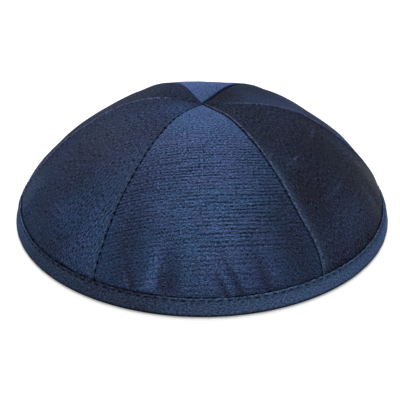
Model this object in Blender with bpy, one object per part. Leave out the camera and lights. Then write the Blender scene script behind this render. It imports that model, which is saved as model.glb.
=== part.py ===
"""A six-panel satin skullcap lying on its rim: six sewn gores, and the binding folded round their hem.

Lengths are in metres and +Z is up. The origin is the middle of the rim, on the surface that the cap lies on.
A bearing is an angle in plan, in degrees: 0 is the front (-Y), and it grows towards +X.
"""

import math
from typing import NamedTuple

import bmesh
import bpy
from mathutils import Vector

# The cap as a whole
RIM_WIDTH = 0.176  # side to side, over the binding
RIM_DEPTH = 0.174  # front to back, over the binding
CROWN_HEIGHT = 0.0575  # the dome's even curve, before the dip at its middle
PLAN_POWER = 2.03  # the dome's curve is radius^PLAN_POWER + height^HEIGHT_POWER = 1, both as shares
HEIGHT_POWER = 1.46
CROWN_FACETING = 0.74  # 0 is a round crown, 1 a crown with straight sides from seam to seam
CROWN_DIP_DEPTH = 0.0045  # the seams draw the middle of the crown down
CROWN_DIP_RADIUS = 0.018

# The panels
PANEL_WALL = 0.0012
PANEL_TIP_RADIUS = 0.0010  # where the panels' points end, round the middle of the crown
SEAM_GAP = 0.0003
SEAM_ROLL = 0.0004  # how far the cloth turns in along a seam
SEAM_ROLL_SHARE = 0.25  # the share of a panel's half-width, beside its seam, that turns in
SEAM_TWIST_POWER = 1.5  # how closely a seam's turn is gathered round the crown
SEAM_BOW_LEVEL = 0.92  # the share of the half-width at which a seam bows aside most
SEAM_BOW_SPREAD = 0.085  # how far inward and outward of there the bow reaches, as such a share

# The hem, inside the binding
HEM_GAP = 0.0003  # between hem and binding, on both sides and below
HEM_BLEND = 0.0030  # height above the binding over which the panel comes out of it

# The binding
BINDING_HEIGHT = 0.0076
BINDING_WALL = 0.0010
BINDING_PROUD = 0.0006  # how far it stands out from the panels
BINDING_EDGE = 0.0004  # the rounding of its upper edges
BINDING_FOLD = 0.0010  # the rounding of its folded lower edge

# The puckers that the binding's stitching draws into the panels, and the longer dents higher up
PUCKER_DEPTH = 0.0020
PUCKER_WIDTH = 0.0050
PUCKER_REACH = 0.0190  # height above the binding
DENT_DEPTH = 0.0018
DENT_WIDTH = 0.0045
DENT_LENGTH = 0.0090

# How finely the pieces are cut
FINE_HEIGHT = 0.030  # the columns are finest below this height
MIDDLE_RADIUS = 0.038  # they are twice as wide inside this radius, and again inside the next
INNER_RADIUS = 0.016
TIP_COLUMNS = 3
HEM_ROWS = 2
BLEND_ROWS = 2
FINE_ROWS = 5
CROWN_ROWS = 9
FOLD_STEPS = 2
RING_STEPS = 84

# Worked out from the sizes above
DOME_HALF_WIDTH = RIM_WIDTH / 2.0 - BINDING_PROUD
DOME_HALF_DEPTH = RIM_DEPTH / 2.0 - BINDING_PROUD
HEM_INSET = BINDING_WALL - BINDING_PROUD + HEM_GAP
HEM_BOTTOM = BINDING_WALL + HEM_GAP
HEM_TOP = BINDING_HEIGHT - BINDING_EDGE
BLEND_TOP = BINDING_HEIGHT + HEM_BLEND
BINDING_INNER_FACE = -(HEM_INSET + PANEL_WALL + HEM_GAP + BINDING_WALL)
SLOPE_PER_SWEEP = (DOME_HALF_WIDTH + CROWN_HEIGHT) / 2.0  # distance down the dome for a radian of sweep


class Station(NamedTuple):
    """A level on the dome, as shares of its half-width and of its height."""

    radius: float
    height: float


class Seam(NamedTuple):
    """A seam: its bearing at the rim, its turn by the crown, and how far and where it bows aside."""

    bearing: float
    twist: float
    bow: float = 0.0
    bow_level: float = SEAM_BOW_LEVEL
    bow_spread: float = SEAM_BOW_SPREAD


class Pucker(NamedTuple):
    """A fold drawn in at the hem: depth, width and reach are shares of the PUCKER sizes."""

    bearing: float
    depth: float
    width: float
    reach: float


class Dent(NamedTuple):
    """A dent across a panel, or a bulge with a depth below 0.

    Its level is a share of CROWN_HEIGHT, and its sizes are shares of the DENT sizes.
    """

    bearing: float
    level: float
    slant: float
    depth: float
    width: float
    length: float


SEAMS = (
    Seam(bearing=-30.8, twist=-2.5),
    Seam(bearing=34.2, twist=-1.5, bow=1.6),
    Seam(bearing=94.2, twist=-20.0, bow=7.0, bow_level=0.50, bow_spread=0.20),
    Seam(bearing=145.0, twist=0.5),
    Seam(bearing=211.0, twist=-6.0),
    Seam(bearing=275.0, twist=-22.0),
)

# A panel lies between its seam and the next one, in the order of SEAMS.
PANELS = (
    "panel_front",
    "panel_front_right",
    "panel_back_right",
    "panel_back",
    "panel_back_left",
    "panel_front_left",
)

PUCKERS = (
    Pucker(bearing=-24.0, depth=0.45, width=1.2, reach=1.60),
    Pucker(bearing=-17.0, depth=0.40, width=0.7, reach=0.60),
    Pucker(bearing=-9.2, depth=1.00, width=1.0, reach=1.00),
    Pucker(bearing=3.0, depth=0.40, width=0.8, reach=0.60),
    Pucker(bearing=9.0, depth=0.45, width=0.7, reach=0.50),
    Pucker(bearing=23.0, depth=0.60, width=1.0, reach=0.80),
    Pucker(bearing=43.0, depth=0.40, width=0.8, reach=0.60),
    Pucker(bearing=50.0, depth=0.60, width=0.8, reach=0.55),
    Pucker(bearing=57.0, depth=0.55, width=0.8, reach=0.55),
    Pucker(bearing=76.0, depth=0.45, width=1.2, reach=1.20),
    Pucker(bearing=108.0, depth=0.50, width=0.9, reach=0.70),
    Pucker(bearing=123.0, depth=0.65, width=1.0, reach=0.90),
    Pucker(bearing=160.0, depth=0.50, width=0.8, reach=0.60),
    Pucker(bearing=176.0, depth=0.80, width=1.1, reach=1.00),
    Pucker(bearing=194.0, depth=0.50, width=0.8, reach=0.70),
    Pucker(bearing=227.0, depth=0.55, width=1.0, reach=0.80),
    Pucker(bearing=244.0, depth=0.65, width=0.9, reach=0.80),
    Pucker(bearing=262.0, depth=0.40, width=0.8, reach=0.60),
    Pucker(bearing=290.0, depth=0.60, width=1.1, reach=1.10),
    Pucker(bearing=305.0, depth=0.50, width=0.9, reach=0.60),
    Pucker(bearing=321.0, depth=0.45, width=0.9, reach=0.80),
)

DENTS = (
    Dent(bearing=-46.0, level=0.30, slant=8.0, depth=1.0, width=1.0, length=1.0),
    Dent(bearing=-66.0, level=0.36, slant=-20.0, depth=0.5, width=1.3, length=1.1),
    Dent(bearing=59.0, level=0.50, slant=-6.0, depth=0.5, width=1.2, length=1.1),
    Dent(bearing=128.0, level=0.42, slant=10.0, depth=0.6, width=1.3, length=1.2),
    Dent(bearing=190.0, level=0.46, slant=-8.0, depth=0.5, width=1.3, length=1.3),
    Dent(bearing=246.0, level=0.40, slant=14.0, depth=0.6, width=1.2, length=1.2),
    Dent(bearing=118.0, level=0.73, slant=0.0, depth=-1.0, width=3.1, length=1.55),
    Dent(bearing=222.0, level=0.87, slant=0.0, depth=0.45, width=1.55, length=1.1),
)

SATIN_COLOUR = (0.030, 0.050, 0.130, 1.0)
SATIN_ROUGHNESS = 0.42
BINDING_COLOUR = (0.034, 0.056, 0.145, 1.0)
BINDING_ROUGHNESS = 0.45
SHARP_ANGLE = 50.0  # degrees; edges flatter than this are shaded smooth


def smooth_step(value: float) -> float:
    """0 up to 0, 1 from 1 on, and an even S between."""
    value = min(max(value, 0.0), 1.0)
    return value * value * (3.0 - 2.0 * value)


def bearing_direction(bearing: float) -> Vector:
    """The unit vector in plan at a bearing."""
    return Vector((math.sin(math.radians(bearing)), -math.cos(math.radians(bearing)), 0.0))


def bearing_difference(first: float, second: float) -> float:
    """The turn from the second bearing to the first, between -180 and 180."""
    return (first - second + 180.0) % 360.0 - 180.0


def station_at_height(height: float) -> Station:
    """The level where the dome's even curve is this high."""
    share = min(max(height / CROWN_HEIGHT, 0.0), 1.0)
    return Station((1.0 - share**HEIGHT_POWER) ** (1.0 / PLAN_POWER), share)


def station_at_radius(radius: float) -> Station:
    """The level where the dome is this wide."""
    share = min(radius / DOME_HALF_WIDTH, 1.0)
    return Station(share, (1.0 - share**PLAN_POWER) ** (1.0 / HEIGHT_POWER))


def sweep_of(station: Station) -> float:
    """The angle that a level stands for: 0 at the crown, a quarter turn at the rim."""
    return math.atan2(station.radius ** (PLAN_POWER / 2.0), station.height ** (HEIGHT_POWER / 2.0))


def station_at_sweep(sweep: float) -> Station:
    """The level at a sweep angle."""
    return Station(math.sin(sweep) ** (2.0 / PLAN_POWER), math.cos(sweep) ** (2.0 / HEIGHT_POWER))


def stations_between(low: Station, high: Station, steps: int) -> list[Station]:
    """Evenly spaced levels after the low one, up to and with the high one."""
    first, last = sweep_of(low), sweep_of(high)
    return [station_at_sweep(first + (last - first) * step / steps) for step in range(1, steps + 1)]


def panel_stations() -> list[Station]:
    """The levels of a panel's rows, from the bottom of its hem to its tip."""
    hem_bottom = station_at_height(HEM_BOTTOM)
    hem_top = station_at_height(HEM_TOP)
    blend_top = station_at_height(BLEND_TOP)
    fine_top = station_at_height(FINE_HEIGHT)
    return [
        hem_bottom,
        *stations_between(hem_bottom, hem_top, HEM_ROWS),
        *stations_between(hem_top, blend_top, BLEND_ROWS),
        *stations_between(blend_top, fine_top, FINE_ROWS),
        *stations_between(fine_top, station_at_radius(PANEL_TIP_RADIUS), CROWN_ROWS),
    ]


def outward_normal(station: Station) -> tuple[float, float]:
    """The dome's outward normal at a level, as (outward, upward); it is level inside the binding."""
    across = PLAN_POWER / DOME_HALF_WIDTH * station.radius ** (PLAN_POWER - 1.0)
    up = HEIGHT_POWER / CROWN_HEIGHT * station.height ** (HEIGHT_POWER - 1.0)
    up *= smooth_step((CROWN_HEIGHT * station.height - BINDING_HEIGHT) / HEM_BLEND)
    length = math.hypot(across, up)
    return across / length, up / length


def seam_bearing(seam: Seam, station: Station) -> float:
    """A seam's bearing at a level: it turns on its way up to the crown."""
    turn = seam.twist * (1.0 - station.radius) ** SEAM_TWIST_POWER
    bow = seam.bow * math.exp(-(((station.radius - seam.bow_level) / seam.bow_spread) ** 2))
    return seam.bearing + turn + bow


def panel_edges(index: int, station: Station) -> tuple[float, float]:
    """The bearings of a panel's two seams at a level."""
    low = seam_bearing(SEAMS[index], station)
    high = seam_bearing(SEAMS[(index + 1) % len(SEAMS)], station)
    return low, low + (high - low) % 360.0


def plan_share(bearing: float, low: float, high: float, station: Station) -> float:
    """How far the panel, flat between its seams, draws the plan in from a round one."""
    half = math.radians(high - low) / 2.0
    straight = math.cos(half) / math.cos(math.radians(bearing - low) - half)
    rim = station_at_height(BLEND_TOP).radius
    faceting = CROWN_FACETING * max(1.0 - (station.radius / rim) ** 2, 0.0)
    return 1.0 - faceting * (1.0 - straight)


def pucker_depth(bearing: float, station: Station) -> float:
    """How far the puckers draw the cloth in at a bearing and a level."""
    above = CROWN_HEIGHT * station.height - BINDING_HEIGHT
    total = 0.0
    for pucker in PUCKERS:
        across = math.radians(bearing_difference(bearing, pucker.bearing)) * station.radius * DOME_HALF_WIDTH
        rise = smooth_step(above / HEM_BLEND)
        fall = 1.0 - smooth_step(above / (pucker.reach * PUCKER_REACH))
        profile = math.exp(-((across / (pucker.width * PUCKER_WIDTH)) ** 2))
        total += pucker.depth * PUCKER_DEPTH * profile * rise * fall
    return total


def dent_depth(bearing: float, station: Station) -> float:
    """How far the dents draw the cloth in at a bearing and a level."""
    total = 0.0
    for dent in DENTS:
        across = math.radians(bearing_difference(bearing, dent.bearing)) * station.radius * DOME_HALF_WIDTH
        centre = station_at_height(dent.level * CROWN_HEIGHT)
        up = (sweep_of(centre) - sweep_of(station)) * SLOPE_PER_SWEEP
        slant = math.radians(dent.slant)
        along = across * math.cos(slant) + up * math.sin(slant)
        beside = up * math.cos(slant) - across * math.sin(slant)
        reach = (along / (dent.length * DENT_LENGTH)) ** 2 + (beside / (dent.width * DENT_WIDTH)) ** 2
        total += dent.depth * DENT_DEPTH * math.exp(-reach)
    above = CROWN_HEIGHT * station.height - BINDING_HEIGHT
    return total * smooth_step(above / HEM_BLEND)


def panel_point(index: int, place: float, station: Station, depth: float) -> Vector:
    """A point of a panel: place is -1 to 1 from seam to seam, depth is measured in from its outer face."""
    low, high = panel_edges(index, station)
    gap = math.degrees(math.asin(SEAM_GAP / 2.0 / (station.radius * DOME_HALF_WIDTH)))
    bearing = (low + high) / 2.0 + place * ((high - low) / 2.0 - gap)
    height = CROWN_HEIGHT * station.height
    emerged = smooth_step((height - BINDING_HEIGHT) / HEM_BLEND)
    rolled = smooth_step((abs(place) - 1.0) / SEAM_ROLL_SHARE + 1.0)
    inward = depth + HEM_INSET * (1.0 - emerged) + SEAM_ROLL * emerged * rolled
    inward += pucker_depth(bearing, station) + dent_depth(bearing, station)
    across, up = outward_normal(station)
    direction = bearing_direction(bearing)
    share = station.radius * plan_share(bearing, low, high, station)
    radius = station.radius * DOME_HALF_WIDTH
    dip = CROWN_DIP_DEPTH * math.exp(-((radius / CROWN_DIP_RADIUS) ** 2))
    return Vector(
        (
            direction.x * (DOME_HALF_WIDTH * share - inward * across),
            direction.y * (DOME_HALF_DEPTH * share - inward * across),
            height - dip - inward * up,
        )
    )


def double_columns(sheet: bmesh.types.BMesh, last_row: int) -> None:
    """Split each column of the sheet in two, from its lowest row up to the last row."""
    level = [
        edge
        for edge in sheet.edges
        if edge.verts[0].co.y == edge.verts[1].co.y and round(edge.verts[0].co.y) <= last_row
    ]
    bmesh.ops.subdivide_edges(sheet, edges=level, cuts=1, use_grid_fill=True)


def panel_mesh(index: int) -> bmesh.types.BMesh:
    """One gore: laid out flat as columns and rows, given its wall, then bent over the dome."""
    stations = panel_stations()
    rows = len(stations) - 1
    sheet = bmesh.new()
    bmesh.ops.create_grid(sheet, x_segments=TIP_COLUMNS, y_segments=rows, size=1.0)
    for vert in sheet.verts:
        vert.co.y = round((vert.co.y + 1.0) / 2.0 * rows)
    radii = [level.radius * DOME_HALF_WIDTH for level in stations]
    inner_row = max(row for row, radius in enumerate(radii) if radius > INNER_RADIUS)
    middle_row = max(row for row, radius in enumerate(radii) if radius > MIDDLE_RADIUS)
    fine_row = HEM_ROWS + BLEND_ROWS + FINE_ROWS
    for last_row in (inner_row, middle_row, fine_row):
        double_columns(sheet, last_row)
    wall = bmesh.ops.extrude_face_region(sheet, geom=sheet.faces[:])
    inner = {element for element in wall["geom"] if isinstance(element, bmesh.types.BMVert)}
    for vert in sheet.verts:
        depth = PANEL_WALL if vert in inner else 0.0
        vert.co = panel_point(index, vert.co.x, stations[round(vert.co.y)], depth)
    return sheet


def arc_points(centre: Vector, radius: float, first: float, last: float, steps: int) -> list[Vector]:
    """Points on an arc in the section's plane, from one angle in degrees to another."""
    points = []
    for step in range(steps + 1):
        angle = math.radians(first + (last - first) * step / steps)
        points.append(centre + Vector((math.cos(angle), 0.0, math.sin(angle))) * radius)
    return points


def binding_section() -> list[Vector]:
    """The binding's section, as (outward from the panels' outer face, 0, height), outer fold first."""
    outer, inner, fold = BINDING_PROUD, BINDING_INNER_FACE, BINDING_FOLD
    outer_channel, inner_channel = outer - BINDING_WALL, inner + BINDING_WALL
    middle = HEM_BOTTOM + (HEM_TOP - HEM_BOTTOM) / HEM_ROWS
    return [
        *arc_points(Vector((outer - fold, 0.0, fold)), fold, -90.0, 0.0, FOLD_STEPS),
        Vector((outer, 0.0, middle)),
        Vector((outer, 0.0, HEM_TOP)),
        Vector(((outer + outer_channel) / 2.0, 0.0, BINDING_HEIGHT)),
        Vector((outer_channel, 0.0, HEM_TOP)),
        Vector((outer_channel, 0.0, middle)),
        Vector((outer_channel, 0.0, BINDING_WALL)),
        Vector((inner_channel, 0.0, BINDING_WALL)),
        Vector((inner_channel, 0.0, middle)),
        Vector((inner_channel, 0.0, HEM_TOP)),
        Vector(((inner + inner_channel) / 2.0, 0.0, BINDING_HEIGHT)),
        Vector((inner, 0.0, HEM_TOP)),
        Vector((inner, 0.0, middle)),
        *arc_points(Vector((inner + fold, 0.0, fold)), fold, 180.0, 270.0, FOLD_STEPS),
    ]


def binding_mesh() -> bmesh.types.BMesh:
    """The binding: its folded section, leaning in with the dome and spun round the rim."""
    ring = bmesh.new()
    corners = []
    for point in binding_section():
        lean = DOME_HALF_WIDTH * station_at_height(point.z).radius
        corners.append(ring.verts.new((lean + point.x, 0.0, point.z)))
    edges = [ring.edges.new((corners[step - 1], corners[step])) for step in range(len(corners))]
    bmesh.ops.spin(
        ring,
        geom=corners + edges,
        cent=(0.0, 0.0, 0.0),
        axis=(0.0, 0.0, 1.0),
        angle=math.tau,
        steps=RING_STEPS,
        use_merge=True,
    )
    bmesh.ops.scale(ring, vec=(1.0, RIM_DEPTH / RIM_WIDTH, 1.0), verts=ring.verts)
    return ring


def satin(name: str, colour: tuple[float, float, float, float], roughness: float) -> bpy.types.Material:
    """A plain cloth material in one colour."""
    material = bpy.data.materials.new(name)
    material.use_nodes = True
    shader = material.node_tree.nodes["Principled BSDF"]
    shader.inputs["Base Color"].default_value = colour
    shader.inputs["Roughness"].default_value = roughness
    shader.inputs["Metallic"].default_value = 0.0
    return material


def add_piece(name: str, mesh_source: bmesh.types.BMesh, material: bpy.types.Material) -> None:
    """Make a named object of a finished mesh, faces pointing out and shaded smooth."""
    bmesh.ops.recalc_face_normals(mesh_source, faces=mesh_source.faces[:])
    mesh = bpy.data.meshes.new(name)
    mesh_source.to_mesh(mesh)
    mesh_source.free()
    mesh.shade_smooth()
    mesh.set_sharp_from_angle(angle=math.radians(SHARP_ANGLE))
    mesh.materials.append(material)
    piece = bpy.data.objects.new(name, mesh)
    bpy.context.scene.collection.objects.link(piece)


def build() -> None:
    """Clear the scene and model the cap."""
    for old in list(bpy.data.objects):
        bpy.data.objects.remove(old)
    for index, name in enumerate(PANELS):
        add_piece(name, panel_mesh(index), satin(name, SATIN_COLOUR, SATIN_ROUGHNESS))
    add_piece("rim_binding", binding_mesh(), satin("rim_binding", BINDING_COLOUR, BINDING_ROUGHNESS))


build()
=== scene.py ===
"""Dresses the satin skullcap: gores sewn edge to edge, a topstitched binding, and the studio round them.

Lengths are in metres and +Z is up, unless a name says otherwise. A bearing is an angle in plan, in degrees:
0 is the front (-Y), and it grows towards +X. Cloth directions are kept in a UV map in millimetres, with U
across the gore or along the binding, and V up it.
"""

import logging
import math
from dataclasses import dataclass
from enum import Enum

import bmesh
import bpy
from mathutils import Matrix, Vector, noise


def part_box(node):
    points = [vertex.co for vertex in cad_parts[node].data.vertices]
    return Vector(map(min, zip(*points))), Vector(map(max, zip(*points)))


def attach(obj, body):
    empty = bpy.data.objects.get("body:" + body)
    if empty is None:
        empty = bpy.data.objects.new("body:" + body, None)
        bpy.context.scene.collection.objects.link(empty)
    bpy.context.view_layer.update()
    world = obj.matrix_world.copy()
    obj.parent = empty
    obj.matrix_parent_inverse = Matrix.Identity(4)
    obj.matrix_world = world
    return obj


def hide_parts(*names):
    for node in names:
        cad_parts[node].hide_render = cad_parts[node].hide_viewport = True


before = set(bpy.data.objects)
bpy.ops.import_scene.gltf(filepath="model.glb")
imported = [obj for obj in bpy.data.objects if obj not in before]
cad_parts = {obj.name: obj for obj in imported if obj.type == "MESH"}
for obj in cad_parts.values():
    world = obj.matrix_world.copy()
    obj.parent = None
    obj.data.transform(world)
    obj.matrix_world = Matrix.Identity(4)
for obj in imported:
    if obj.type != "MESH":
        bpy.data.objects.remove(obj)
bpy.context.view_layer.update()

WEAVE_MAP = "weave"
LAYERS = ("tone", "shadow", "ridge", "gleam")
BODY = "root"
MM = 0.001

Colour = tuple[float, float, float, float]
Node = bpy.types.Node
Socket = bpy.types.NodeSocket
log = logging.getLogger("skullcap")


class SocketKind(Enum):
    """The kinds of socket that the shader groups use."""

    VALUE = "NodeSocketFloat"
    COLOUR = "NodeSocketColor"
    VECTOR = "NodeSocketVector"


def smooth_step(value: float) -> float:
    """0 up to 0, 1 from 1 on, and an even S between."""
    value = min(max(value, 0.0), 1.0)
    return value * value * (3.0 - 2.0 * value)


def bell(distance: float, width: float) -> float:
    """1 at no distance, fading evenly on both sides over a width."""
    return math.exp(-((distance / width) ** 2))


def turn_between(first: float, second: float) -> float:
    """The turn from the second bearing to the first, between -180 and 180 degrees."""
    return (first - second + 180.0) % 360.0 - 180.0


def plan_direction(bearing: float) -> Vector:
    """The unit vector in plan at a bearing."""
    return Vector((math.sin(math.radians(bearing)), -math.cos(math.radians(bearing)), 0.0))


@dataclass(frozen=True)
class Level:
    """A level on the dome, as shares of its half-width and of its height."""

    radius: float
    height: float


@dataclass(frozen=True)
class Dome:
    """The curve that the gores are sewn to, as the CAD solids have it."""

    half_width: float
    half_depth: float
    height: float
    binding_top: float
    proud: float = 0.6 * MM
    relief_room: float = 0.12 * MM
    binding_wall: float = 1.0 * MM
    plan_power: float = 2.03
    height_power: float = 1.46
    faceting: float = 0.74
    dip_depth: float = 4.5 * MM
    dip_radius: float = 18.0 * MM
    dip_share: float = 1.06
    hem_blend: float = 2.2 * MM
    hem_clearance: float = 0.05 * MM

    @classmethod
    def from_frame(cls, binding: str, gores: list[str]) -> "Dome":
        """Measure the dome on the CAD solids.

        Args:
            binding: the binding's node.
            gores: the gores' nodes.

        Returns:
            The dome that fits them.
        """
        low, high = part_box(binding)
        top = max(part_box(name)[1].z for name in gores)
        proud = cls.proud - cls.relief_room
        half_width, half_depth = (high.x - low.x) / 2.0 - proud, (high.y - low.y) / 2.0 - proud
        return cls(half_width, half_depth, top * cls.dip_share, high.z)

    @property
    def hem_inset(self) -> float:
        """How far the hem lies inside the gores' outer face, just clear of the binding's outer wall."""
        return self.binding_wall - self.proud + self.hem_clearance

    def at_height(self, height: float) -> Level:
        """The level where the even curve is this high."""
        share = min(max(height / self.height, 0.0), 1.0)
        return Level((1.0 - share**self.height_power) ** (1.0 / self.plan_power), share)

    def at_radius(self, radius: float) -> Level:
        """The level where the dome is this wide."""
        share = min(radius / self.half_width, 1.0)
        return Level(share, (1.0 - share**self.plan_power) ** (1.0 / self.height_power))

    def sweep(self, level: Level) -> float:
        """The angle that a level stands for: 0 at the crown, a quarter turn at the rim."""
        return math.atan2(level.radius ** (self.plan_power / 2.0), level.height ** (self.height_power / 2.0))

    def at_sweep(self, sweep: float) -> Level:
        """The level at a sweep angle."""
        radius = math.sin(sweep) ** (2.0 / self.plan_power)
        return Level(radius, math.cos(sweep) ** (2.0 / self.height_power))

    def above_binding(self, level: Level) -> float:
        """How far a level lies above the binding's top edge."""
        return level.height * self.height - self.binding_top

    def emerged(self, level: Level) -> float:
        """0 inside the binding, 1 where the cloth has come out of it."""
        return smooth_step(self.above_binding(level) / self.hem_blend)

    def normal(self, level: Level) -> tuple[float, float]:
        """The outward normal at a level, as (outward, upward); it is level inside the binding."""
        across = self.plan_power / self.half_width * level.radius ** (self.plan_power - 1.0)
        slope = level.height ** (self.height_power - 1.0) * self.emerged(level)
        up = self.height_power / self.height * slope
        length = math.hypot(across, up)
        return across / length, up / length

    def plan_share(self, bearing: float, low: float, high: float, level: Level) -> float:
        """How far a gore, flat between its seams, draws the plan in from a round one."""
        half = math.radians(high - low) / 2.0
        straight = math.cos(half) / math.cos(math.radians(bearing - low) - half)
        rim = self.at_height(self.binding_top + self.hem_blend).radius
        return 1.0 - self.faceting * max(1.0 - (level.radius / rim) ** 2, 0.0) * (1.0 - straight)

    def point(self, bearing: float, level: Level, share: float, inward: float) -> Vector:
        """A point of the cloth.

        Args:
            bearing: where it lies in plan.
            level: how high it lies.
            share: how far the flat gores draw the plan in there.
            inward: how far it lies inside the dome's face.

        Returns:
            Its place.
        """
        across, up = self.normal(level)
        direction = plan_direction(bearing)
        radius = level.radius * self.half_width
        dip = self.dip_depth * bell(radius, self.dip_radius)
        x = direction.x * (self.half_width * level.radius * share - inward * across)
        y = direction.y * (self.half_depth * level.radius * share - inward * across)
        return Vector((x, y, self.height * level.height - dip - inward * up))


@dataclass
class Mark:
    """What seams, folds, creases and patches do to one point of the cloth."""

    inward: float = 0.0
    # The share of blue yarn, with painted sheen and painted shade added by the gores, patches, folds and
    # stretches.
    tone: float = 0.0
    # Painted shade: in seams, ditches and stitch channels, and low on the binding near the floor.
    shadow: float = 0.0
    # Painted highlights and sheen, mixed in the highlight colour.
    ridge: float = 0.0
    # Painted highlights, mixed in the gleam colour.
    gleam: float = 0.0


@dataclass(frozen=True)
class SeamRoll:
    """How a gore stands along a seam: a ridge over the allowance, and its painted shine, glow and crest
    highlight.
    """

    ridge: float
    width: float
    shine: float = 0.0
    spread: float = 0.0
    gleam: float = 0.0
    gleam_reach: float = 2.6 * MM
    crest: float = 0.0
    crest_place: float = 0.62 * MM
    crest_width: float = 0.34 * MM
    rise: float = 0.4 * MM
    steep: float = 1.6
    fall: float = 1.25
    glow_start: float = 0.30
    glow_span: float = 0.40
    shine_start: float = 0.05
    shine_span: float = 0.18

    def lift(self, distance: float, descent: float) -> float:
        """The ridge's share of its full height, at a distance from the seam and a way down the dome."""
        reach = distance / (self.width * (1.0 + self.spread * descent))
        return smooth_step(reach * self.steep) * (1.0 - smooth_step((reach - 1.0) * self.fall))

    def glow(self, distance: float, descent: float) -> float:
        """How much the cloth gleams as it leans over the ridge: most beside the seam, not at the crown."""
        near = smooth_step(distance / self.rise) * math.exp(-distance / self.gleam_reach)
        return self.gleam * near * smooth_step((descent - self.glow_start) / self.glow_span)

    def rub(self, distance: float, pinch: float) -> float:
        """The painted highlight on the thread-thin crest of the ridge, broken off where the stitches pinch
        it.
        """
        return self.crest * pinch * bell(distance - self.crest_place, self.crest_width)


@dataclass(frozen=True)
class Seam:
    """A seam: its bearing at the rim, its turn and its bow on the way up, and the cloth on its two sides."""

    bearing: float
    twist: float
    before: SeamRoll
    after: SeamRoll
    groove: float = 0.45 * MM
    groove_width: float = 0.30 * MM
    dimple: float = 0.0
    stitch: float = 3.5 * MM
    dark: float = 0.8
    line: float = 0.9
    line_width: float = 0.15 * MM
    bow: float = 0.0
    bow_level: float = 0.92
    bow_spread: float = 0.085

    def at(self, level: Level) -> float:
        """The seam's bearing at a level."""
        bow = self.bow * bell(level.radius - self.bow_level, self.bow_spread)
        return self.bearing + self.twist * (1.0 - level.radius) ** 1.5 + bow

    def pinch(self, climb: float) -> float:
        """How hard the stitches pinch the seam at a way up the dome."""
        return 1.0 + self.dimple * math.cos(math.tau * climb / self.stitch)

    def press(self, mark: Mark, roll: SeamRoll, distance: float, climb: float, descent: float) -> None:
        """Mark a point of the cloth beside the seam, with painted shade in its groove and painted highlights
        on its ridge.

        Args:
            mark: the point's marks, which are added to.
            roll: how this side of the seam stands.
            distance: how far the point lies from the seam.
            climb: how far up the dome it lies, along the cloth.
            descent: how far out it lies, as a share of the dome's half-width.
        """
        pinch = self.pinch(climb)
        lift = roll.lift(distance, descent)
        ditch = pinch * bell(distance, self.groove_width)
        mark.inward += self.groove * ditch - roll.ridge * lift
        # Painted shade in the seam's groove and along its line.
        mark.shadow += max(self.dark * ditch, self.line * bell(distance, self.line_width))
        # Painted highlights on the ridge, on its crest and on the cloth leaning over it.
        shine = roll.shine * smooth_step((descent - roll.shine_start) / roll.shine_span)
        mark.ridge += shine * lift + roll.rub(distance, pinch)
        mark.gleam += roll.glow(distance, descent)


@dataclass(frozen=True)
class Fold:
    """A fold that the binding's stitches draw in, sharper on one side; its lengths are in millimetres."""

    bearing: float
    depth: float
    before: float
    after: float
    reach: float
    lean: float = 0.0
    # Painted light along the fold, or painted shade below 0.
    tone: float = 0.0


@dataclass(frozen=True)
class Crease:
    """A short dent across a gore, or a ridge with a depth below 0; its lengths are in millimetres."""

    bearing: float
    height: float
    slant: float
    depth: float
    width: float
    length: float
    # A painted highlight along the crease.
    shine: float = 0.0


@dataclass(frozen=True)
class Patch:
    """A soft patch of painted sheen with more blue yarn, or of painted shade with less below 0, and a pale
    painted sheen; its lengths are in millimetres.
    """

    bearing: float
    height: float
    across: float
    up: float
    tone: float
    haze: float = 0.0


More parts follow.
